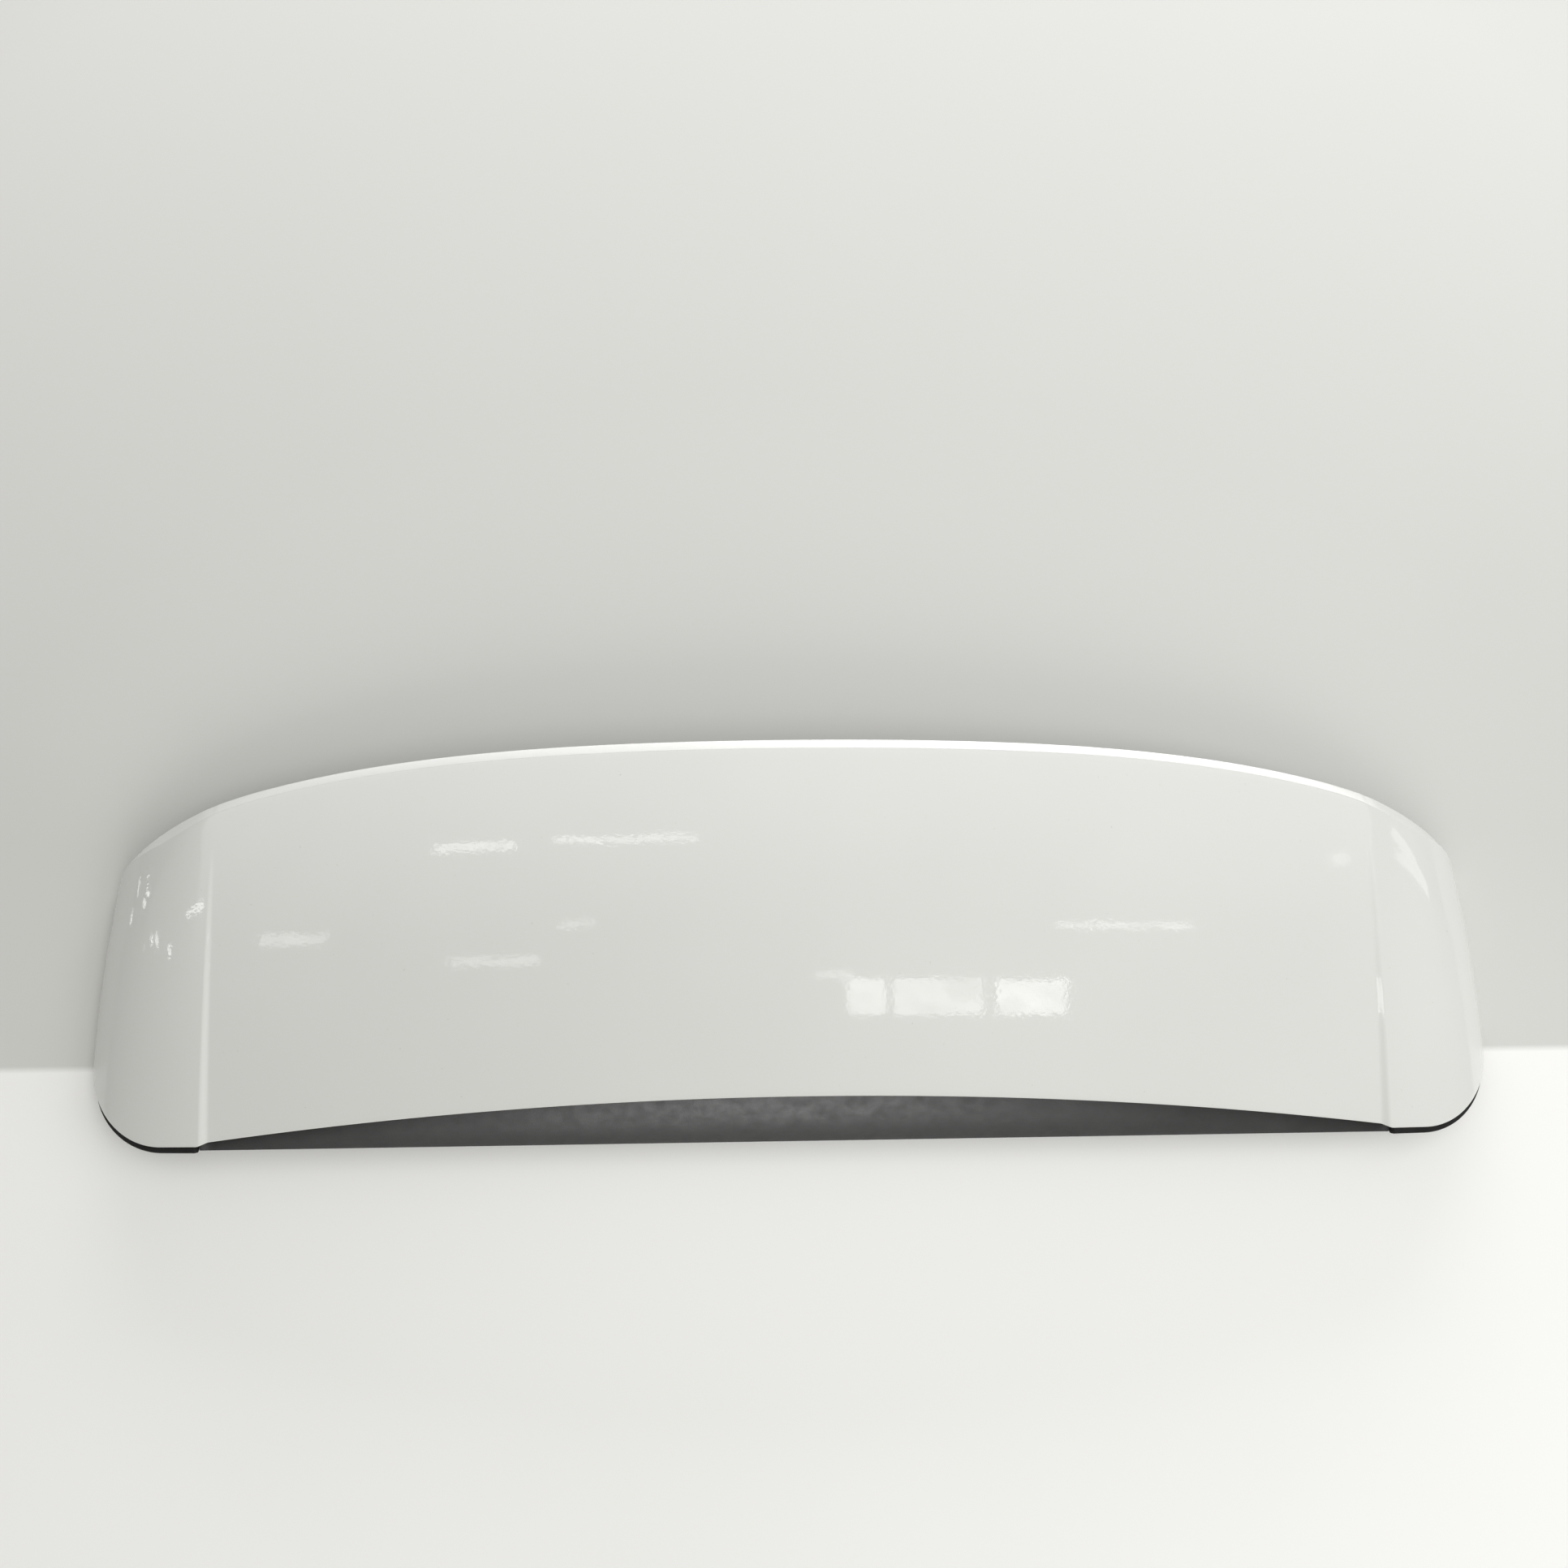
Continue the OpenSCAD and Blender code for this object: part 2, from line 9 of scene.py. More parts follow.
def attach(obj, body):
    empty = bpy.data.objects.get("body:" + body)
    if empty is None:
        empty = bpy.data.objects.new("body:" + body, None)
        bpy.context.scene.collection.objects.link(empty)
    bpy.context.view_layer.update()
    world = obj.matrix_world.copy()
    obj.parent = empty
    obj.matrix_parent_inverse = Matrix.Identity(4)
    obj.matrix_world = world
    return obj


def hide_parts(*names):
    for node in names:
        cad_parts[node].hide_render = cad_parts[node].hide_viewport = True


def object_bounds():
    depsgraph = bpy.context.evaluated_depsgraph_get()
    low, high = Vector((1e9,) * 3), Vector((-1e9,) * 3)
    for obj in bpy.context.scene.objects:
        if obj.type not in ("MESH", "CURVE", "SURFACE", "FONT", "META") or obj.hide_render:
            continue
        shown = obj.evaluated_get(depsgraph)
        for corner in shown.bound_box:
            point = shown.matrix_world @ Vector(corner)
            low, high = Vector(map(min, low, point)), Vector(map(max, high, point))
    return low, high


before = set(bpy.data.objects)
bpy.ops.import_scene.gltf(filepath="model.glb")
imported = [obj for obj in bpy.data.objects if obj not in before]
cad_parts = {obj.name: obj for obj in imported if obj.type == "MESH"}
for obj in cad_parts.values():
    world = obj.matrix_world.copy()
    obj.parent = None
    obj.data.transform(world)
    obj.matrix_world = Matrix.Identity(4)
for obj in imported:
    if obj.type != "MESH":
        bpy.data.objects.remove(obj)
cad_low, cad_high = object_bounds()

# Sizes in metres. Along Y they are counted back from the foremost point, as in the part's source.
MM = 0.001
CROWN_H, CROWN_R = 0.110, 3.2
CHANNEL_X, EAR_W = 0.514, 0.1155
EAR_W_Y, EAR_SPAN, EAR_TAPER, EAR_BOW = 0.110, 0.100, 0.00565, 0.004
CAMBER, CAMBER_HALF, SUMMIT_Y = 0.008, 0.165, 0.190
LEAD_Y, LEAD_BOW = 0.042, 0.0325
EAR_LEAD_Y, CORNER_L, CORNER_START = 0.0062, 0.0885, 0.33
TRAIL_Y, TRAIL_SWEEP2, TRAIL_SWEEP4, TRAIL_CORNER = 0.352, 0.0186, 0.0274, 0.0424
CHAMFER_L, CHAMFER_D, REAR_FACE_H, RETURN_L = 0.010, 0.008, 0.009, 0.011
SKIN_T, LEAD_FLANGE, SHELL_T, GLUE_GAP = 0.0028, 0.006, 0.0024, 0.0003
CHANNEL_H, CHANNEL_W, CHANNEL_END = 0.003, 0.0095, 0.88
STEP_IN, STEP_L = 0.005, 0.012
SHOULDER_H, SHOULDER_V, SHOULDER_T = 0.0016, 0.4, 0.38
BEAD_H, BEAD_CELLS, CELLS = 0.003, (2.5, 6.5, 11.5), 16
NOSE_Y, LAND_Z, LAND_END_Y, BOND_W = 0.0025, 0.048, 0.108, 0.012
STUD_X, STUD_Y, STUD_R, STUD_L = (0.150, 0.420), 0.062, 0.003, 0.018
HEAD_R, FIT_GAP = 0.008, 0.00015
THREAD_PITCH, THREAD_DEPTH = 0.001, 0.00055
PLATE_T, PLATE_L = 0.0045, 0.042
LOCATOR_X, LOCATOR_R, LOCATOR_L = 0.290, 0.004, 0.016
FOAM_T, FOAM_W = 0.005, 0.010
SEAL_REACH, SEAL_H = 0.0055, 0.0045
EDGE_ROUND, SEAT_GAP = 0.0012, 0.0006
MID_Y = TRAIL_Y / 2
LIP_BACK = SKIN_T + EDGE_ROUND + SEAT_GAP / 2
NOSE_EDGE_Y = NOSE_Y - MID_Y
LAND_REAR_Y = LAND_END_Y - MID_Y
STUD_PLACE_Y = STUD_Y - MID_Y
PLATE_TOP = LAND_Z - GLUE_GAP
PLATE_Z = PLATE_TOP - PLATE_T

# The outline's ease where each ear begins: its place outside the channel, half its length and its depth
EASE_X, EASE_L, EASE_D = 0.005, 0.045, 0.0013

# Shares and powers in the formulas of the outline, the shoulder and the roof channels
EAR_SWEEP, CORNER_POWER, CORNER_ROOT = 0.9, 1.55, 0.41
SHOULDER_POWER, SHOULDER_SOFT = 2.5, 0.25
CHANNEL_NARROWS, CHANNEL_FADE = 0.65, 0.8

# Stations: a station v runs from -2 at the left rim through -1 and 1 at the channels to 2 at the right rim
STEP = 0.01
THIN_FROM, THIN_RUN, THIN_LOSS = 1.2, 0.6, 0.75
END_WALL, SHELL_END = 1.02, 1.03
SEAL_START, SEAL_STOP = 1.045, 1.8

# Soft runs, each as start, rise, stop and fall: two along the stations and one along a bead
WIDE_BAND, CORNER_WIDER = (0.9, 0.45, 1.9, 0.5), 0.45
SQUARE_EDGE = (0.95, 0.3, 1.9, 0.3)
BEAD_RUN = (0, 0.14, 0.86, 0.14)

# Half of a bead's width and the width of its flank, in cells
BEAD_HALF, BEAD_FLANK = 0.27, 0.1

# The nose: its bow as a share of its length, the cut and the rounding of its lower edge, the point
# where the land's inner face begins, and how far the inner face's front corner stands back
NOSE_BOW, NOSE_CUT, NOSE_ROUND = 0.24, 0.002, 0.0012
INNER_LAND, APEX_BACK, APEX_BOW = 0.025, 0.0055, 0.0045

# Meshes: the angle at which an edge turns sharp, the turns of a round piece and the radius at its axis
SHARP_ANGLE = math.radians(32)
ROUND_TURNS, AXIS_R = 64, 0.05 * MM


def unit(a):
    return a / np.linalg.norm(a, axis=-1, keepdims=True)


def smooth(a):
    a = np.clip(a, 0, 1)
    return a * a * (3 - 2 * a)


def between(a, start, rise, stop, fall):
    """1 between two places, with a soft rise after the first and a soft fall before the second."""
    return smooth((a - start) / rise) * smooth((stop - a) / fall)


def ear_angle(v):
    return np.pi / 2 * np.maximum(0, np.abs(v) - 1)


def ear_share(v):
    return np.sin(ear_angle(v))


def place_x(v):
    return CHANNEL_X * np.minimum(np.abs(v), 1) + EAR_W * ear_share(v)


def front_y(v):
    k = np.clip((ear_share(v) - CORNER_START) / (1 - CORNER_START), 0, 1)
    middle = LEAD_Y - LEAD_BOW * np.minimum(np.abs(v), 1) ** 2
    ear = EAR_LEAD_Y + CORNER_L * (1 - np.sqrt(np.maximum(0, 1 - k * k)))
    return middle + (ear - middle) * smooth((place_x(v) - CHANNEL_X + STEP_IN) / STEP_L)


def chamfer_share(v):
    return 1 - THIN_LOSS * smooth((np.abs(v) - THIN_FROM) / THIN_RUN)


def band_l(v):
    """Length of the rear chamfer, which is a little broader round the corners."""
    return CHAMFER_L * chamfer_share(v) * (1 + CORNER_WIDER * between(np.abs(v), *WIDE_BAND))


def rear_y(v):
    u, k = np.minimum(np.abs(v), 1), ear_share(v)
    slope = (2 * TRAIL_SWEEP2 + 4 * TRAIL_SWEEP4) / CHANNEL_X
    middle = TRAIL_Y - TRAIL_SWEEP2 * u**2 - TRAIL_SWEEP4 * u**4
    corner = TRAIL_CORNER * (1 - np.maximum(0, 1 - k**CORNER_POWER) ** CORNER_ROOT)
    ease = EASE_D * np.maximum(0, 1 - np.abs(place_x(v) - CHANNEL_X - EASE_X) / EASE_L) ** 2
    return middle - EAR_SWEEP * slope * EAR_W * k - corner - ease - band_l(v)


def shoulder(v, t):
    """Drop of the surface outside the soft shoulder of an ear."""
    a = np.maximum(0, np.abs(v) - 1) / SHOULDER_V
    b = np.maximum(0, t - 1 + SHOULDER_T) / SHOULDER_T
    past = np.maximum(0, (a**SHOULDER_POWER + b**SHOULDER_POWER) ** (1 / SHOULDER_POWER) - 1)
    return SHOULDER_H * (1 - np.exp(-past / SHOULDER_SOFT)) * smooth(2 * b) * np.cos(ear_angle(v))


def surf(v, t):
    """Points of the painted surface at stations v and share t of the way back."""
    y = front_y(v) + t * (rear_y(v) - front_y(v))
    xc = CHANNEL_X * np.minimum(np.abs(v), 1)
    a = (y - EAR_W_Y) / EAR_SPAN
    width = EAR_W - EAR_TAPER * a - EAR_BOW * a * a
    x = xc + width * ear_share(v)
    fall = CHANNEL_X / CROWN_R
    drop = CAMBER * ((y - SUMMIT_Y) / CAMBER_HALF) ** 2
    ear_drop = CROWN_H - CHANNEL_X**2 / (2 * CROWN_R) - fall * width - drop
    channel_w = CHANNEL_W * (1 - CHANNEL_NARROWS * t)
    channel = CHANNEL_H * np.clip(1 - t / CHANNEL_END, 0, 1) ** CHANNEL_FADE * np.cos(ear_angle(v))
    channel = channel * smooth((x - CHANNEL_X + channel_w / 2) / channel_w)
    z = CROWN_H - xc**2 / (2 * CROWN_R) - drop - fall * (x - xc) - ear_drop * (1 - np.cos(ear_angle(v)))
    return np.stack([np.sign(v) * x, y - MID_Y, z + channel - shoulder(v, t)], -1)


def chord(v, t):
    return unit(surf(v, np.minimum(1, t + STEP)) - surf(v, np.maximum(0, t - STEP)))


def normal(v, t):
    return unit(np.cross(surf(v + STEP, t) - surf(v - STEP, t), chord(v, t)))


def rounded_ring(corners, steps=5):
    """A closed section from (points, reach) pairs, each corner rounded over its reach."""
    ring, count = [], len(corners)
    for i, (p, reach) in enumerate(corners):
        if not reach:
            ring.append(p)
            continue
        a = p + unit(corners[i - 1][0] - p) * reach
        b = p + unit(corners[(i + 1) % count][0] - p) * reach
        ring += [a * (1 - k) ** 2 + p * 2 * k * (1 - k) + b * k * k for k in np.linspace(0, 1, steps)]
    return np.stack(ring, 1)


def loft_faces(sections, size, closed_along=False):
    faces = []
    for c in range(sections if closed_along else sections - 1):
        d = (c + 1) % sections
        for r in range(size):
            s = (r + 1) % size
            faces.append((c * size + r, d * size + r, d * size + s, c * size + s))
    return faces


def loft(sections):
    """Points and faces of a solid through closed sections, with flat ends."""
    count, size = sections.shape[:2]
    faces = loft_faces(count, size)
    faces += [tuple(range(size)), tuple(range(count * size - 1, (count - 1) * size - 1, -1))]
    return sections.reshape(-1, 3), faces


def make_piece(name, shape, material, nodes):
    """An object with the shape, kept inside the CAD box, that replaces the nodes."""
    points, faces = shape
    mesh = bpy.data.meshes.new(name)
    mesh.from_pydata(np.clip(points, cad_low, cad_high).tolist(), [], faces)
    bm = bmesh.new()
    bm.from_mesh(mesh)
    bmesh.ops.recalc_face_normals(bm, faces=bm.faces)
    bm.to_mesh(mesh)
    bm.free()
    mesh.shade_smooth()
    mesh.set_sharp_from_angle(angle=SHARP_ANGLE)
    mesh.materials.append(material)
    piece = bpy.data.objects.new(name, mesh)
    bpy.context.scene.collection.objects.link(piece)
    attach(piece, "root")
    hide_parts(*nodes)


def skin_stations():
    """Stations from rim to rim, closer together on both sides of a channel and at the rims."""
    inside, outside, rim = 0.02, 0.06, [0.99, 0.996, 1]
    beside = np.linspace(0, outside, 17)[1:]
    ear = 1 + np.concatenate([beside, np.linspace(outside, rim[0], 63)[1:], rim[1:]])
    near = 1 - np.linspace(inside, 0, 15)[1:]
    middle = np.linspace(inside - 1, 1 - inside, 124)
    return np.concatenate([-ear[::-1], -near[::-1], middle, near, ear])


def rearward(v):
    """The chamfer's direction: along the section in the middle, square to the edge on the ears."""
    square = unit(np.cross(normal(v, 1), surf(v + STEP, 1) - surf(v - STEP, 1)))
    share = between(np.abs(v), *SQUARE_EDGE)[:, None]
    return unit(chord(v, 1) * (1 - share) + square * np.sign(square[:, 1:2]) * share)


def rear_foot(v):
    """Lower edge of the rear face."""
    drop = CHAMFER_D * chamfer_share(v)[:, None] + REAR_FACE_H
    return surf(v, 1) + rearward(v) * band_l(v)[:, None] - normal(v, 1) * drop


def painted_skin():
    """The top shell, its section drawn once round from the leading flange's lower edge."""
    v = skin_stations()
    rows, inner_rows = 48, 24
    fine, soft, face_round, foot_round = 0.3 * MM, 0.7 * MM, 1.0 * MM, 1.2 * MM
    nf, cf, front = normal(v, 0), chord(v, 0), surf(v, 0)
    nb, cb, back = normal(v, 1), rearward(v), surf(v, 1)
    foot = rear_foot(v)
    fall = CHAMFER_D * (chamfer_share(v) / band_l(v))[:, None]
    half_turn = np.tan(np.arctan(fall) / 2)
    bend = back - (nb + cb * half_turn) * SKIN_T
    run = band_l(v)[:, None] + SKIN_T * half_turn - SKIN_T
    corners = [(front - nf * LEAD_FLANGE, soft), (front, EDGE_ROUND)]
    corners += [(surf(v, i / rows), 0) for i in range(1, rows)]
    corners += [(back, soft), (foot + nb * REAR_FACE_H, face_round), (foot, foot_round)]
    corners += [(foot - cb * RETURN_L, soft), (foot - cb * RETURN_L + nb * SKIN_T, soft)]
    corners += [(foot - cb * SKIN_T + nb * SKIN_T, fine)]
    corners += [(bend + cb * run - nb * run * fall, fine), (bend, fine)]
    for t in np.arange(inner_rows - 1, 0, -1) / inner_rows:
        corners.append((surf(v, t) - normal(v, t) * SKIN_T, 0))
    corners += [(front - nf * SKIN_T + cf * (SKIN_T + EDGE_ROUND), 0)]
    corners += [(front - nf * (SKIN_T + EDGE_ROUND) + cf * SKIN_T, 0)]
    corners += [(front - nf * LEAD_FLANGE + cf * SKIN_T, soft)]
    return loft(rounded_ring(corners))


def roof_z(v, y):
    """Height of the lower shell's glued faces, a glue gap below the skin."""
    y0, y1 = surf(v, 0)[:, 1], surf(v, 1)[:, 1]
    return surf(v, np.clip((y - y0) / (y1 - y0), 0, 1))[:, 2] - (SKIN_T + GLUE_GAP) / normal(v, 0.5)[:, 2]


def slide_to(p, v, x):
    """Points moved along the rear face's lower edge until they stand at x."""
    d = rear_foot(v + STEP) - rear_foot(v - STEP)
    return p + d * ((x - p[:, 0]) / d[:, 0])[:, None]


def xyz(x, y, z):
    return np.stack([x, np.broadcast_to(y, x.shape), np.broadcast_to(z, x.shape)], -1)


def bead(v):
    """1 on the floor of a stiffening bead, 0 beside it."""
    off = [np.abs(CELLS * np.abs(v) - b) for b in BEAD_CELLS]
    return np.max([smooth((BEAD_HALF - a) / BEAD_FLANK) for a in off], axis=0)


def nose_bulge(start, stop, k):
    """How far the nose bows out, forwards and up, at share k of the way down."""
    length = np.linalg.norm(stop - start, axis=-1)[:, None]
    return np.array([0, -1, 1]) * length * NOSE_BOW * k * (1 - k)


def shell_outer(v):
    """Corners of the lower shell's outer face, from its front flange to its rear flange."""
    x = np.sign(v) * place_x(v)
    lip_y = surf(v, 0)[:, 1] + LIP_BACK
    lip = xyz(x, lip_y, surf(v, 0)[:, 2] - LEAD_FLANGE - SEAT_GAP)
    edge = xyz(x, NOSE_EDGE_Y, LAND_Z + NOSE_CUT)
    foot = slide_to(rear_foot(v), v, x)
    cb = chord(v, 1)
    lift = np.array([0, 0, SKIN_T + GLUE_GAP])
    hook = foot - cb * (RETURN_L + SEAT_GAP)
    front = [(xyz(x, lip_y + BOND_W, roof_z(v, lip_y + BOND_W)), 0), (xyz(x, lip_y, roof_z(v, lip_y)), 0)]
    front.append((lip, 0.6 * MM))
    for k in np.linspace(0, 1, 9)[1:-1]:
        front.append((lip + (edge - lip) * k + nose_bulge(lip, edge, k), 0))
    land = [(edge, NOSE_ROUND), (xyz(x, NOSE_EDGE_Y + NOSE_CUT, LAND_Z), NOSE_ROUND)]
    land += [(xyz(x, NOSE_EDGE_Y + INNER_LAND, LAND_Z), 0), (xyz(x, LAND_REAR_Y, LAND_Z), 0)]
    slope = []
    for k in np.linspace(0, 1, 22)[1:]:
        y = LAND_REAR_Y + (hook[:, 1] - LAND_REAR_Y) * k
        recess = BEAD_H * bead(v) * between(k, *BEAD_RUN)
        slope.append((xyz(x, y, LAND_Z + (hook[:, 2] - LAND_Z) * smooth(k) + recess), 0))
    return front, land, slope, [(hook + lift, 0), (foot - cb * (SKIN_T + 2 * SEAT_GAP) + lift, 0)]


def shell_inner(v):
    """The same corners on the inner face, in the opposite order."""
    front, land, slope, tail = shell_outer(v)
    u = np.minimum(1, np.abs(v))
    lip = front[2][0]
    top = lip + np.array([0, SHELL_T, -0.5 * SHELL_T])
    apex = xyz(lip[:, 0], NOSE_EDGE_Y + APEX_BACK + APEX_BOW * u * u, LAND_Z + SHELL_T)
    up, inward = np.array([0, 0, SHELL_T]), np.array([0, -SHELL_T, SHELL_T])
    keys = [front[0][0] - up, front[1][0] + np.array([0, SHELL_T, -SHELL_T])]
    keys += [top + (apex - top) * k + nose_bulge(top, apex, k) for k in np.linspace(0, 1, 8)]
    keys += [land[2][0] + up, land[3][0] + up] + [p + up for p, _ in slope[:-1]]
    keys += [slope[-1][0] + inward, tail[0][0] + inward, tail[1][0] + up]
    return [(p, 0) for p in reversed(keys)]


def shell_stations():
    """Stations from end to end, closer together on the beads' flanks and in the last cell."""
    last_cell = 1 - 1 / CELLS
    half = np.linspace(0, last_cell, 61)
    for b in BEAD_CELLS:
        flanks = b + np.array([-1, 1])[:, None] * np.linspace(BEAD_HALF - BEAD_FLANK, BEAD_HALF, 6)
        half = np.concatenate([half, flanks.ravel() / CELLS])
    half = np.unique(np.round(np.concatenate([half, np.linspace(last_cell, END_WALL, 16)]), 6))
    return np.concatenate([-half[:0:-1], half])


def lower_shell():
    """The shell and its two end walls, in one mesh."""
    v = shell_stations()
    parts = [loft(rounded_ring([c for part in shell_outer(v) for c in part] + shell_inner(v)))]
    for ends in ((-SHELL_END, -END_WALL), (END_WALL, SHELL_END)):
        v = np.array(ends)
        corners = [c for part in shell_outer(v) for c in part]
        y0, y1 = corners[0][0][:, 1], corners[-1][0][:, 1]
        for k in np.linspace(1, 0, 14)[1:-1]:
            y = y0 + (y1 - y0) * k
            corners.append((xyz(corners[0][0][:, 0], y, roof_z(v, y)), 0))
        parts.append(loft(rounded_ring(corners)))
    points, faces = [], []
    for part_points, part_faces in parts:
        faces += [tuple(i + len(points) for i in f) for f in part_faces]
        points += list(part_points)
    return points, faces


def ear_seal(side):
    """A seal under the front rim of an ear, which thins out towards the rear."""
    v = np.linspace(SEAL_START, SEAL_STOP, 60)
    k = ((v - SEAL_START) / (SEAL_STOP - SEAL_START))[:, None]
    even_loss, end_loss, end_power = 0.2, 0.4, 8
    n, edge = normal(v, 0), surf(v, 0)
    out = unit(np.cross(surf(v + STEP, 0) - surf(v - STEP, 0), n))
    reach = SEAL_REACH * (1 - even_loss * k - end_loss * k**end_power)
    cut, fine, soft = 1 * MM, 0.4 * MM, 0.6 * MM
    high, under = EDGE_ROUND + SEAT_GAP, LEAD_FLANGE + GLUE_GAP
    low = under + SEAL_H
    section = [(-SKIN_T, under, 0), (GLUE_GAP, under, 0), (GLUE_GAP, high, 0)]
    section += [(reach - cut, high, fine), (reach, high + cut, fine)]
    section += [(reach, low - 2 * cut, soft), (reach - 1.5 * cut, low, soft)]
    section += [(cut - SKIN_T, low, fine), (-SKIN_T, low - cut, fine)]
    ring = rounded_ring([(edge + out * s - n * d, r) for s, d, r in section], 4)
    ring[:, :, 0] *= side
    return loft(ring)


def lathe(profile, x, turns=ROUND_TURNS):
    """Ring turned about the upright line at x, level with the studs, from (radius, height) pairs."""
    profile = np.array(profile)
    angle = np.linspace(0, 2 * np.pi, turns, endpoint=False)[:, None]
    r, z = profile[None, :, 0], profile[None, :, 1]
    sections = np.stack([x + r * np.cos(angle), STUD_PLACE_Y + r * np.sin(angle), z + 0 * angle], -1)
    return sections.reshape(-1, 3), loft_faces(turns, len(profile), closed_along=True)


def axis_caps(size, turns=ROUND_TURNS):
    """The two small faces that close a turned piece at its axis."""
    return [tuple(i * size + end for i in range(turns)) for end in (0, size - 1)]


def cut_thread(points, x, levels, first, size, turns):
    """Moves the points of a stud's shank inwards along a screw line, with a fade at each end."""
    centre = np.array([x, STUD_PLACE_Y])
    fade_l, end_lift, end_depth = 0.6 * MM, 0.3 * MM, 0.6
    fade = np.minimum(1, np.minimum(levels - levels[0], levels[-1] - levels + end_lift) / fade_l)
    for i in range(turns):
        part = points[i * size + first : i * size + first + len(levels)]
        phase = (levels / THREAD_PITCH + i / turns) % 1
        depth = THREAD_DEPTH * (np.abs(2 * phase - 1) * fade + (1 - fade) * end_depth)
        part[:, :2] = centre + (part[:, :2] - centre) * (1 - depth / STUD_R)[:, None]


def stud(x):
    head_top = PLATE_TOP - FIT_GAP / 2
    neck, tip, collar_end = head_top - 2 * MM, PLATE_Z - STUD_L, PLATE_Z - 1.5 * MM
    soft, collar_r, turns, per_pitch = 0.3 * MM, STUD_R + 1 * MM, 36, 10
    levels = np.arange(tip + 1.2 * MM, collar_end - 0.6 * MM, THREAD_PITCH / per_pitch)
    low = [(AXIS_R, tip), (STUD_R - 1 * MM, tip), (STUD_R - 0.6 * MM, tip + 0.5 * MM)]
    high = [(STUD_R - THREAD_DEPTH, collar_end), (collar_r, collar_end), (collar_r, neck)]
    high += [(HEAD_R - soft, neck), (HEAD_R, neck + soft), (HEAD_R, head_top - soft)]
    high += [(HEAD_R - soft, head_top), (AXIS_R, head_top)]
    profile = low + [(STUD_R, z) for z in levels] + high
    points, faces = lathe(profile, x, turns)
    cut_thread(points, x, levels, len(low), len(profile), turns)
    return points, faces + axis_caps(len(profile), turns)


def stud_seal(x):
    margin = 6 * MM
    inner, outer, top = STUD_R + margin, PLATE_L / 2 - margin, PLATE_Z - GLUE_GAP
    low = top - FOAM_T
    profile = [(inner, low + 0.4 * MM), (inner + 0.4 * MM, low), (outer - 1.2 * MM, low)]
    profile += [(outer - 0.4 * MM, low + 0.3 * MM), (outer, low + 1.1 * MM)]
    profile += [(outer, top), (inner, top)]
    return lathe(profile, x)


def locator(side):
    low, flange_z = PLATE_TOP - LOCATOR_L, PLATE_TOP - 3 * MM
    tip, r, flange_r = low - 2 * MM, LOCATOR_R, 3 * LOCATOR_R
    fine, fillet, soft = 0.3 * MM, 0.6 * MM, 0.5 * MM
    profile = [(AXIS_R, tip), (r - 1.8 * MM, tip), (r - 1.4 * MM, tip + fine), (r, low + fine)]
    profile += [(r, flange_z - fillet), (r + fillet, flange_z), (flange_r - soft, flange_z)]
    profile += [(flange_r, flange_z + soft), (flange_r, PLATE_TOP), (AXIS_R, PLATE_TOP)]
    points, faces = lathe(profile, side * LOCATOR_X)
    return points, faces + axis_caps(len(profile))


def land_seal():
    half, back = CHANNEL_X - 24 * MM, 9 * MM
    x = np.linspace(-half, half, 80)
    y, z, r = NOSE_EDGE_Y + back + FOAM_W / 2, LAND_Z - GLUE_GAP, FOAM_W / 2
    angles = np.linspace(0, np.pi, 15)
    return loft(np.stack([xyz(x, y - r * math.cos(a), z - r * math.sin(a)) for a in angles], 1))


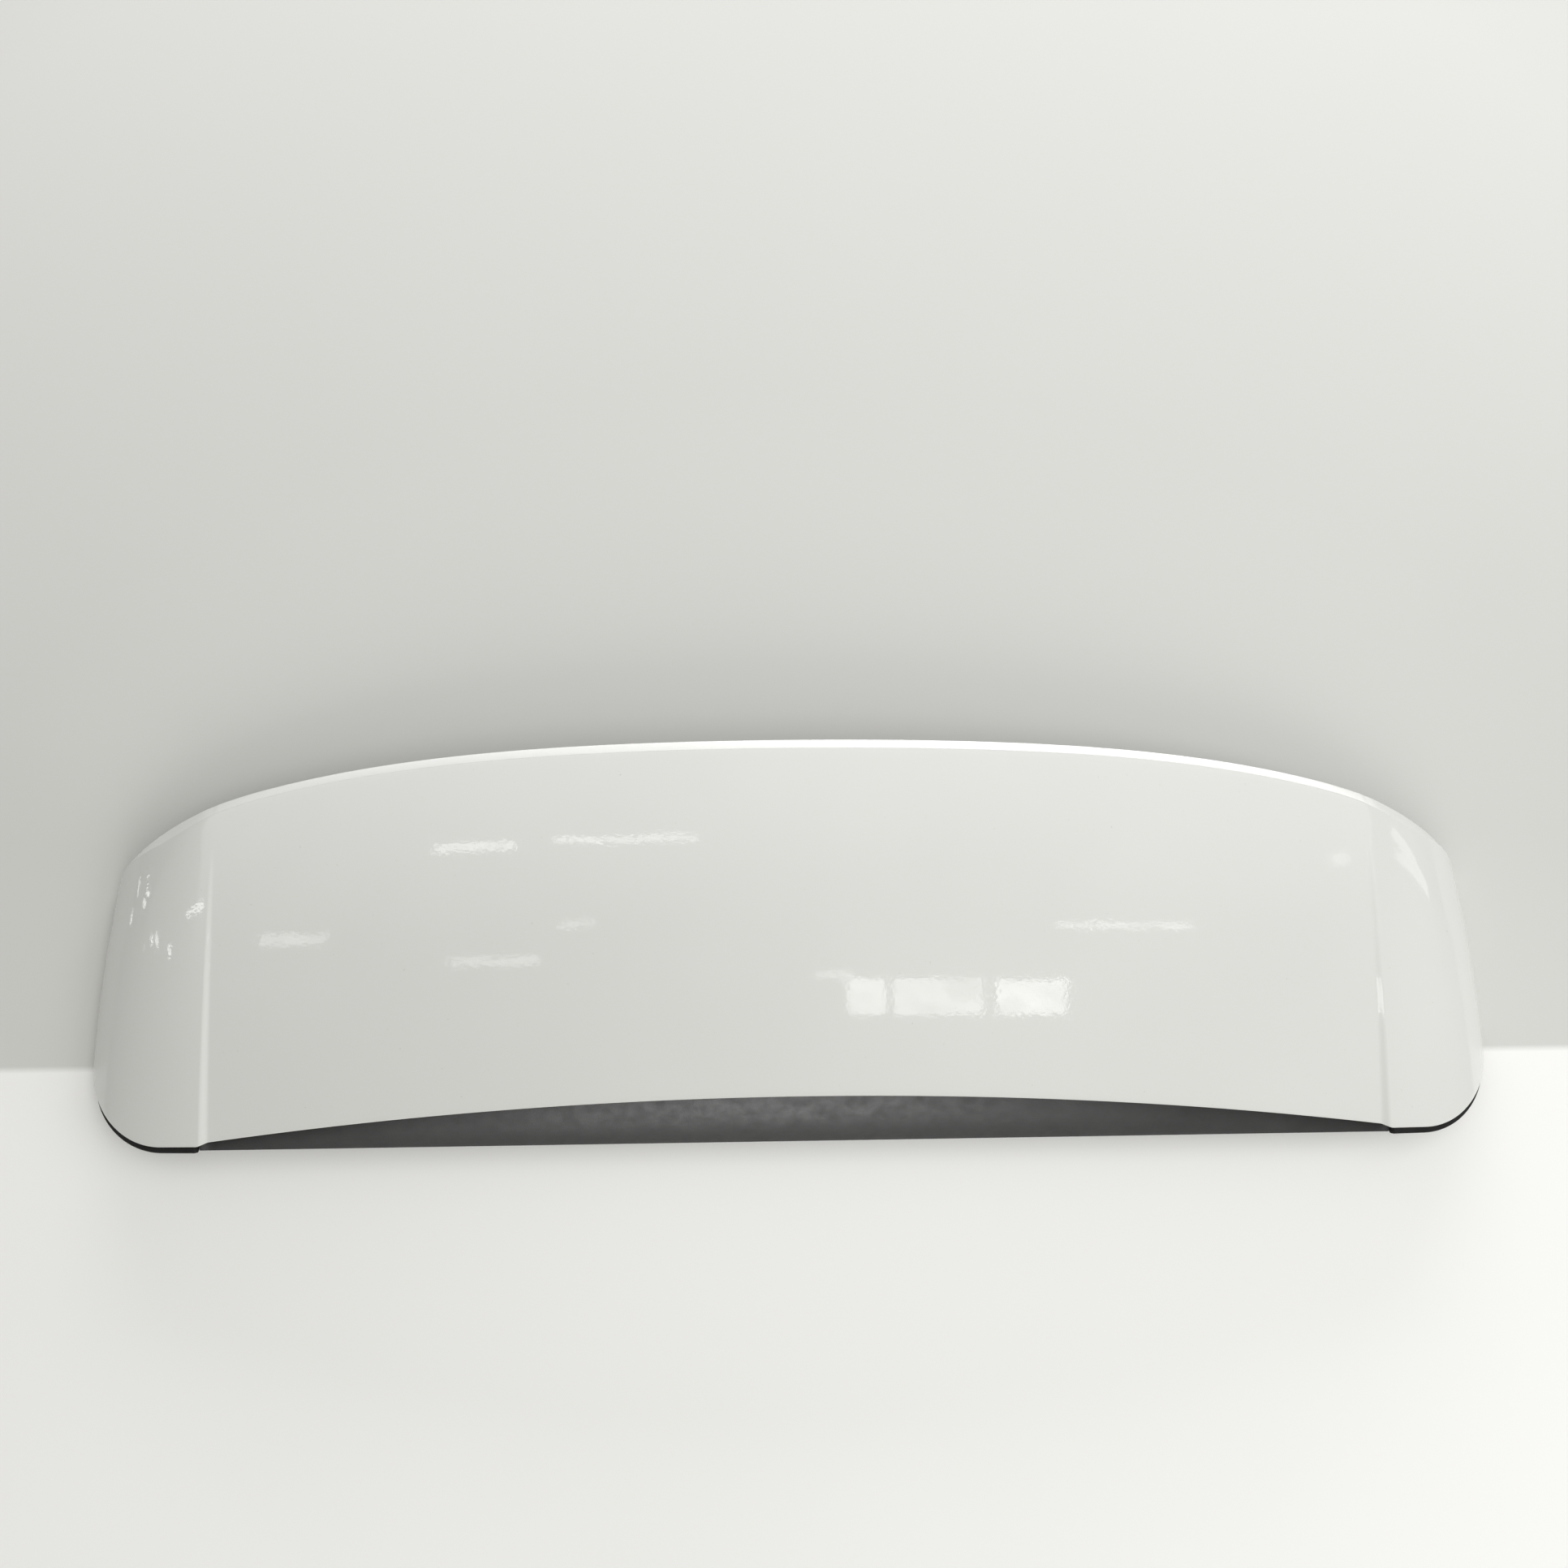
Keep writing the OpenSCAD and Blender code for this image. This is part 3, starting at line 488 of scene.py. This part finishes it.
class Nodes:
    """A material's node tree, built by short calls."""

    def __init__(self, name):
        self.material = bpy.data.materials.new(name)
        self.material.use_nodes = True
        self.tree = self.material.node_tree
        self.tree.nodes.clear()
        self.output = self.tree.nodes.new("ShaderNodeOutputMaterial")
        self.shader = self.tree.nodes.new("ShaderNodeBsdfPrincipled")
        self.tree.links.new(self.shader.outputs[0], self.output.inputs["Surface"])
        self.place = self.tree.nodes.new("ShaderNodeTexCoord").outputs["Object"]

    def link(self, source, node, socket):
        self.tree.links.new(source, node.inputs[socket])

    def noise(self, scale, detail=2.0, roughness=0.5):
        node = self.tree.nodes.new("ShaderNodeTexNoise")
        self.link(self.place, node, "Vector")
        node.inputs["Scale"].default_value = scale
        node.inputs["Detail"].default_value = detail
        node.inputs["Roughness"].default_value = roughness
        return node.outputs["Fac"]

    def mottle(self, scale, detail, low=0, high=1):
        """Noise with its usual range spread from low to high."""
        return self.map_range(self.noise(scale, detail), 0.3, 0.7, low, high)

    def axis(self, name):
        split = self.tree.nodes.new("ShaderNodeSeparateXYZ")
        self.link(self.place, split, "Vector")
        return split.outputs[name]

    def distance(self, scale):
        """Distance from the origin, with each axis scaled."""
        stretch = self.tree.nodes.new("ShaderNodeVectorMath")
        stretch.operation = "MULTIPLY"
        stretch.inputs[1].default_value = scale
        self.link(self.place, stretch, 0)
        node = self.tree.nodes.new("ShaderNodeVectorMath")
        node.operation = "LENGTH"
        self.link(stretch.outputs[0], node, 0)
        return node.outputs["Value"]

    def map_range(self, source, low, high, to_low, to_high):
        node = self.tree.nodes.new("ShaderNodeMapRange")
        self.link(source, node, "Value")
        for socket, value in zip(("From Min", "From Max", "To Min", "To Max"), (low, high, to_low, to_high)):
            node.inputs[socket].default_value = value
        return node.outputs["Result"]

    def times(self, first, second):
        node = self.tree.nodes.new("ShaderNodeMath")
        node.operation = "MULTIPLY"
        self.link(first, node, 0)
        if isinstance(second, (int, float)):
            node.inputs[1].default_value = second
        else:
            self.link(second, node, 1)
        return node.outputs[0]

    def blend(self, factor, first, second):
        node = self.tree.nodes.new("ShaderNodeMix")
        node.data_type = "RGBA"
        self.link(factor, node, "Factor")
        for socket, value in ((6, first), (7, second)):
            if isinstance(value, tuple):
                node.inputs[socket].default_value = (*value, 1)
            else:
                self.tree.links.new(value, node.inputs[socket])
        return node.outputs[2]

    def bump(self, height, strength, distance, below=None):
        node = self.tree.nodes.new("ShaderNodeBump")
        node.inputs["Strength"].default_value = strength
        node.inputs["Distance"].default_value = distance
        self.link(height, node, "Height")
        if below is not None:
            self.link(below, node, "Normal")
        return node.outputs["Normal"]

    def set(self, **values):
        """Sets the shader's inputs by name, each to a number, a colour or another node's output."""
        for name, value in values.items():
            socket = self.shader.inputs[name.replace("_", " ").title().replace("Ior", "IOR")]
            if isinstance(value, bpy.types.NodeSocket):
                self.tree.links.new(value, socket)
            else:
                socket.default_value = (*value, 1) if isinstance(value, tuple) else value


def paint_material():
    m = Nodes("white_paint")
    shade = m.mottle(6.0, 2)
    colour = m.blend(shade, (0.690, 0.695, 0.678), (0.706, 0.710, 0.694))
    dust = m.map_range(m.noise(420.0, 1), 0.80, 0.84, 0, 0.5)
    colour = m.blend(dust, colour, (0.30, 0.27, 0.22))
    m.set(base_color=colour, roughness=0.32, coat_weight=1.0, coat_roughness=0.03, coat_ior=1.5)
    peel = m.bump(m.noise(260.0, 2), 0.06, 0.0004)
    wave = m.bump(m.noise(24.0, 1), 0.10, 0.0008, peel)
    m.link(wave, m.shader, "Coat Normal")
    return m.material


def black_plastic_material():
    m = Nodes("grained_black_plastic")
    shade = m.mottle(40.0, 4)
    colour = m.blend(shade, (0.015, 0.015, 0.015), (0.022, 0.022, 0.022))
    rough = m.mottle(90.0, 3, 0.46, 0.58)
    m.set(base_color=colour, roughness=rough, specular_ior_level=0.2)
    m.set(normal=m.bump(m.noise(1500.0, 2), 0.5, 0.0002))
    return m.material


def rubber_material():
    m = Nodes("black_rubber")
    shade = m.mottle(60.0, 3)
    m.set(base_color=m.blend(shade, (0.009, 0.009, 0.009), (0.015, 0.015, 0.015)), roughness=0.62)
    m.set(specular_ior_level=0.25)
    m.set(normal=m.bump(m.noise(900.0, 2), 0.2, 0.0002))
    return m.material


def foam_material():
    m = Nodes("closed_cell_foam")
    cells = m.noise(1400.0, 3, 0.7)
    m.set(base_color=m.blend(cells, (0.018, 0.018, 0.019), (0.050, 0.050, 0.052)), roughness=0.9)
    m.set(normal=m.bump(cells, 0.6, 0.0004))
    return m.material


def zinc_material():
    m = Nodes("zinc_plated_steel")
    shade = m.mottle(350.0, 4)
    m.set(base_color=m.blend(shade, (0.55, 0.55, 0.53), (0.68, 0.67, 0.63)), metallic=1.0)
    m.set(roughness=m.mottle(500.0, 3, 0.24, 0.40))
    return m.material


def spring_material():
    m = Nodes("phosphated_spring_steel")
    shade = m.mottle(500.0, 4)
    m.set(base_color=m.blend(shade, (0.16, 0.16, 0.165), (0.24, 0.24, 0.24)), metallic=1.0, roughness=0.45)
    m.set(normal=m.bump(m.noise(1600.0, 2), 0.15, 0.0001))
    return m.material


# The floor: half of its width, and the line where its tone changes, darker behind it as painted shade
FLOOR_HALF = 4.0
FLOOR_SEAM_Y, FLOOR_SEAM_HALF = -0.102, 0.003


def floor_material():
    """A pale sheet, brighter in front of the part than behind it, where the darker tone is painted shade;
    brightest close to the part, in a painted pool of light; brighter again towards the far back as painted
    light, and darker far from the part.
    """
    m = Nodes("pale_floor")
    along = m.axis("Y")
    # Behind the seam the floor takes a darker tone, which is painted shade
    behind = m.map_range(along, FLOOR_SEAM_Y - FLOOR_SEAM_HALF, FLOOR_SEAM_Y + FLOOR_SEAM_HALF, 0, 1)
    shade = m.mottle(2.0, 3)
    # A painted pool of light close to the part, which lightens the shadow that the part casts on the floor
    close = m.map_range(m.distance((1 / 0.75, 1 / 0.5, 1)), 0.4, 1.1, 1, 0)
    front = m.blend(shade, (0.880, 0.880, 0.873), (0.900, 0.900, 0.895))
    front = m.blend(close, front, (0.945, 0.945, 0.940))
    back = m.blend(shade, (0.605, 0.607, 0.590), (0.625, 0.626, 0.612))
    back = m.blend(close, back, (0.690, 0.691, 0.676))
    # Painted light: the back of the floor grows brighter further back
    back = m.blend(m.map_range(along, 0.1, 0.95, 0, 1), back, (0.82, 0.82, 0.808))
    far = m.map_range(m.distance((1, 1, 1)), 1.15, 2.6, 0, 1)
    both = m.blend(behind, front, back)
    m.set(base_color=m.blend(far, both, (0.52, 0.52, 0.512)), roughness=1.0, specular_ior_level=0.0)
    return m.material


def dress_cad_node(name, material):
    """A material for a node that keeps its CAD mesh."""
    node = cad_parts[name]
    node.data.materials.clear()
    node.data.materials.append(material)


def build_object():
    paint, plastic, rubber = paint_material(), black_plastic_material(), rubber_material()
    foam, zinc, spring = foam_material(), zinc_material(), spring_material()
    make_piece("painted_skin", painted_skin(), paint, ["outer_skin"])
    make_piece("black_lower_shell", lower_shell(), plastic, ["lower_shell"])
    make_piece("land_foam", land_seal(), foam, ["land_seal"])
    for side, hand in ((-1, "left"), (1, "right")):
        make_piece(f"seal_{hand}", ear_seal(side), rubber, [f"ear_seal_{hand}"])
        make_piece(f"pin_{hand}", locator(side), plastic, [f"locator_{hand}"])
        dress_cad_node(f"ear_liner_{hand}", plastic)
        dress_cad_node(f"ear_clip_{hand}", spring)
        for x, place in zip(STUD_X, ("inner", "outer")):
            key = f"{hand}_{place}"
            dress_cad_node(f"stud_plate_{key}", plastic)
            make_piece(f"threaded_stud_{key}", stud(side * x), zinc, [f"stud_{key}"])
            make_piece(f"foam_ring_{key}", stud_seal(side * x), foam, [f"stud_seal_{key}"])


def sheet_object(name, corners, material):
    mesh = bpy.data.meshes.new(name)
    mesh.from_pydata(corners, [], [(0, 1, 2, 3)])
    mesh.materials.append(material)
    sheet = bpy.data.objects.new(name, mesh)
    bpy.context.scene.collection.objects.link(sheet)
    return sheet


def hide_from_lamps(sheet):
    """Only gloss sees the sheet: it neither lights nor shades anything."""
    sheet.visible_camera = sheet.visible_diffuse = sheet.visible_shadow = False


def level(x0, x1, y0, y1, z):
    return [(x0, y0, z), (x1, y0, z), (x1, y1, z), (x0, y1, z)]


def upright(x0, x1, y, z0, z1):
    return [(x0, y, z0), (x1, y, z0), (x1, y, z1), (x0, y, z1)]


def floor():
    corners = level(-FLOOR_HALF, FLOOR_HALF, -FLOOR_HALF, FLOOR_HALF, 0)
    sheet_object("floor", corners, floor_material())


def glow_material(name, radiance, patchy, fades=()):
    """Glow added to what lies behind it. A fade is an axis, a run along it and the share at each end."""
    m = Nodes(name)
    m.tree.nodes.remove(m.shader)
    glow = m.tree.nodes.new("ShaderNodeEmission")
    glow.inputs["Strength"].default_value = radiance
    if patchy:
        m.link(m.map_range(m.noise(9.0, 3, 0.6), 0.35, 0.6, 0.55, 1), glow, "Color")
    strength = radiance
    for axis, *run in fades:
        strength = m.times(m.map_range(m.axis(axis), *run), strength)
    if fades:
        m.link(strength, glow, "Strength")
    clear = m.tree.nodes.new("ShaderNodeBsdfTransparent")
    both = m.tree.nodes.new("ShaderNodeAddShader")
    m.link(glow.outputs[0], both, 0)
    m.link(clear.outputs[0], both, 1)
    m.link(both.outputs[0], m.output, "Surface")
    return m.material


def area_light(name, place, size, power, colour):
    data = bpy.data.lights.new(name, "AREA")
    data.shape = "RECTANGLE"
    data.size, data.size_y = size
    data.energy = power
    data.color = colour
    light = bpy.data.objects.new(name, data)
    light.location = place
    light.rotation_euler = (-Vector(place)).to_track_quat("-Z", "Y").to_euler()
    light.visible_glossy = False
    bpy.context.scene.collection.objects.link(light)


WARM, COOL = (1.0, 0.995, 0.955), (0.985, 0.99, 1.0)
ROOM_STRENGTH = 0.33


def lights():
    world = bpy.data.worlds.new("soft_room")
    bpy.context.scene.world = world
    world.use_nodes = True
    background = world.node_tree.nodes["Background"]
    background.inputs["Color"].default_value = (*WARM, 1)
    background.inputs["Strength"].default_value = ROOM_STRENGTH
    area_light("front_softbox", (0.8, -3.2, 2.2), (3.6, 2.0), 46, WARM)
    area_light("top_softbox", (0.6, 0.1, 3.4), (3.0, 3.0), 42, WARM)
    area_light("right_softbox", (3.4, -0.4, 2.0), (2.4, 2.4), 44, COOL)
    area_light("rear_softbox", (0.3, 4.0, 1.1), (4.0, 1.0), 79, COOL)


# The low sheet brightens the rear chamfer, and fades out before the corners and towards the part
LOW_SHEET_FADES = [("X", -0.85, 0.2, 0, 1), ("X", 0.5, 0.9, 1, 0), ("Y", 0.2, 0.34, 0, 1)]

# Large soft sheets that only gloss sees: corners, radiance, fades, and the one piece that mirrors
# the sheet, or None if every piece does
GLOSS_SHEETS = {
    "ceiling_sheet": (level(-3, 3, 0.2, 2.4, 2.75), 1.6, [("Y", 0.2, 1.6, 0, 1)], None),
    "rear_sheet": (upright(-3, 3, 3, 0.05, 3.2), 0.6, [], None),
    "low_rear_sheet": (level(-1.1, 1.1, 0.2, 3, 0.004), 3.4, LOW_SHEET_FADES, "painted_skin"),
    "front_sheet": (upright(-0.3, 0.3, -1.6, 0.1, 1.3), 23, [], "black_lower_shell"),
}


def gloss_sheets():
    for name, (corners, radiance, fades, only) in GLOSS_SHEETS.items():
        sheet = sheet_object(name, corners, glow_material(name, radiance, False, fades))
        hide_from_lamps(sheet)
        if only:
            receivers = bpy.data.collections.new(f"lit_by_{name}")
            receivers.objects.link(bpy.data.objects[only])
            sheet.light_linking.receiver_collection = receivers


# Bright things high above the part that its clear coat mirrors: x from, x to, y from, y to, radiance
PANEL_HEIGHT = 2.6
PANELS = {
    "window_pane_left": (0.276, 0.416, -0.226, -0.056, 4.6),
    "window_pane_middle": (0.447, 0.787, -0.234, -0.059, 3.8),
    "window_pane_right": (0.836, 1.117, -0.240, -0.072, 6.0),
    "window_ledge": (0.144, 0.292, -0.054, -0.020, 2.4),
    "tube_left": (-1.300, -0.972, 0.618, 0.662, 4.4),
    "tube_middle": (-0.816, -0.269, 0.636, 0.664, 4.8),
    "tube_far_left": (-2.050, -1.737, 0.166, 0.222, 2.8),
    "tube_right": (1.078, 1.666, 0.188, 0.210, 4.2),
    "lamp_low": (-0.786, -0.656, 0.214, 0.242, 2.6),
    "lamp_lower": (-1.221, -0.865, 0.036, 0.074, 2.6),
}


# Small bright things beside the part that its ears mirror: plane x, four corners (y, z), radiance
LEFT, RIGHT = -2.7, 2.7
GLINTS = {
    "streak_a": (LEFT, ((0.478, 0.37), (0.502, 0.37), (0.502, 0.43), (0.478, 0.43)), 7.0),
    "streak_b": (LEFT, ((0.459, 0.11), (0.490, 0.07), (0.490, 0.13), (0.459, 0.17)), 3.5),
    "streak_c": (LEFT, ((0.432, 0.32), (0.455, 0.32), (0.455, 0.38), (0.432, 0.38)), 5.0),
    "streak_d": (LEFT, ((0.395, 0.06), (0.416, 0.00), (0.416, 0.06), (0.395, 0.12)), 6.0),
    "streak_e": (LEFT, ((0.231, 0.80), (0.255, 0.77), (0.255, 0.84), (0.231, 0.87)), 2.0),
    "streak_f": (LEFT, ((0.252, 1.02), (0.285, 0.95), (0.285, 1.03), (0.252, 1.10)), 7.0),
    "streak_g": (LEFT, ((0.240, 1.19), (0.295, 1.09), (0.295, 1.17), (0.240, 1.27)), 5.0),
    "streak_h": (LEFT, ((0.200, 1.61), (0.242, 1.53), (0.242, 1.62), (0.200, 1.70)), 7.0),
    "streak_slanted": (LEFT, ((0.40, 2.05), (0.43, 2.05), (0.55, 2.75), (0.50, 2.75)), 6.0),
    "shoulder_sheen": (RIGHT, ((0.61, 1.60), (0.68, 1.40), (0.43, 0.42), (0.35, 0.62)), 1.6),
    "spot_right": (RIGHT, ((0.63, 2.86), (0.71, 2.86), (0.71, 3.02), (0.63, 3.02)), 1.6),
}


def mirrored_panels():
    z = PANEL_HEIGHT
    for name, (x0, x1, y0, y1, radiance) in PANELS.items():
        corners = [(x0, y0, z), (x0, y1, z), (x1, y1, z), (x1, y0, z)]
        panel = sheet_object(name, corners, glow_material(name, radiance, True))
        hide_from_lamps(panel)
    for name, (x, corners, radiance) in GLINTS.items():
        glint = sheet_object(name, [(x, y, z) for y, z in corners], glow_material(name, radiance, False))
        hide_from_lamps(glint)


# The camera that was fitted to the outlines in the photograph
TARGET = Vector((-0.012335, 0.133098, 0.110))
DISTANCE = 1.459711
ELEVATION, AZIMUTH, ROLL = (math.radians(a) for a in (80.304, -11.416, 10.728))
VIEW_ANGLE = math.radians(50)
SENSOR_MM = 36


def photo_camera():
    data = bpy.data.cameras.new("photo_camera")
    data.sensor_width = SENSOR_MM
    data.lens = SENSOR_MM / 2 / math.tan(VIEW_ANGLE / 2)
    camera = bpy.data.objects.new("photo_camera", data)
    level = math.cos(ELEVATION)
    back = Vector((math.sin(AZIMUTH) * level, -math.cos(AZIMUTH) * level, math.sin(ELEVATION)))
    right = Vector((math.cos(AZIMUTH), math.sin(AZIMUTH), 0))
    up = back.cross(right)
    across = right * math.cos(ROLL) + up * math.sin(ROLL)
    upward = up * math.cos(ROLL) - right * math.sin(ROLL)
    turn = Matrix((across, upward, back)).transposed().to_4x4()
    camera.matrix_world = Matrix.Translation(TARGET + back * DISTANCE) @ turn
    bpy.context.scene.collection.objects.link(camera)
    bpy.context.scene.camera = camera


build_object()
floor()
lights()
gloss_sheets()
mirrored_panels()
photo_camera()
bpy.context.scene.view_settings.view_transform = "Standard"
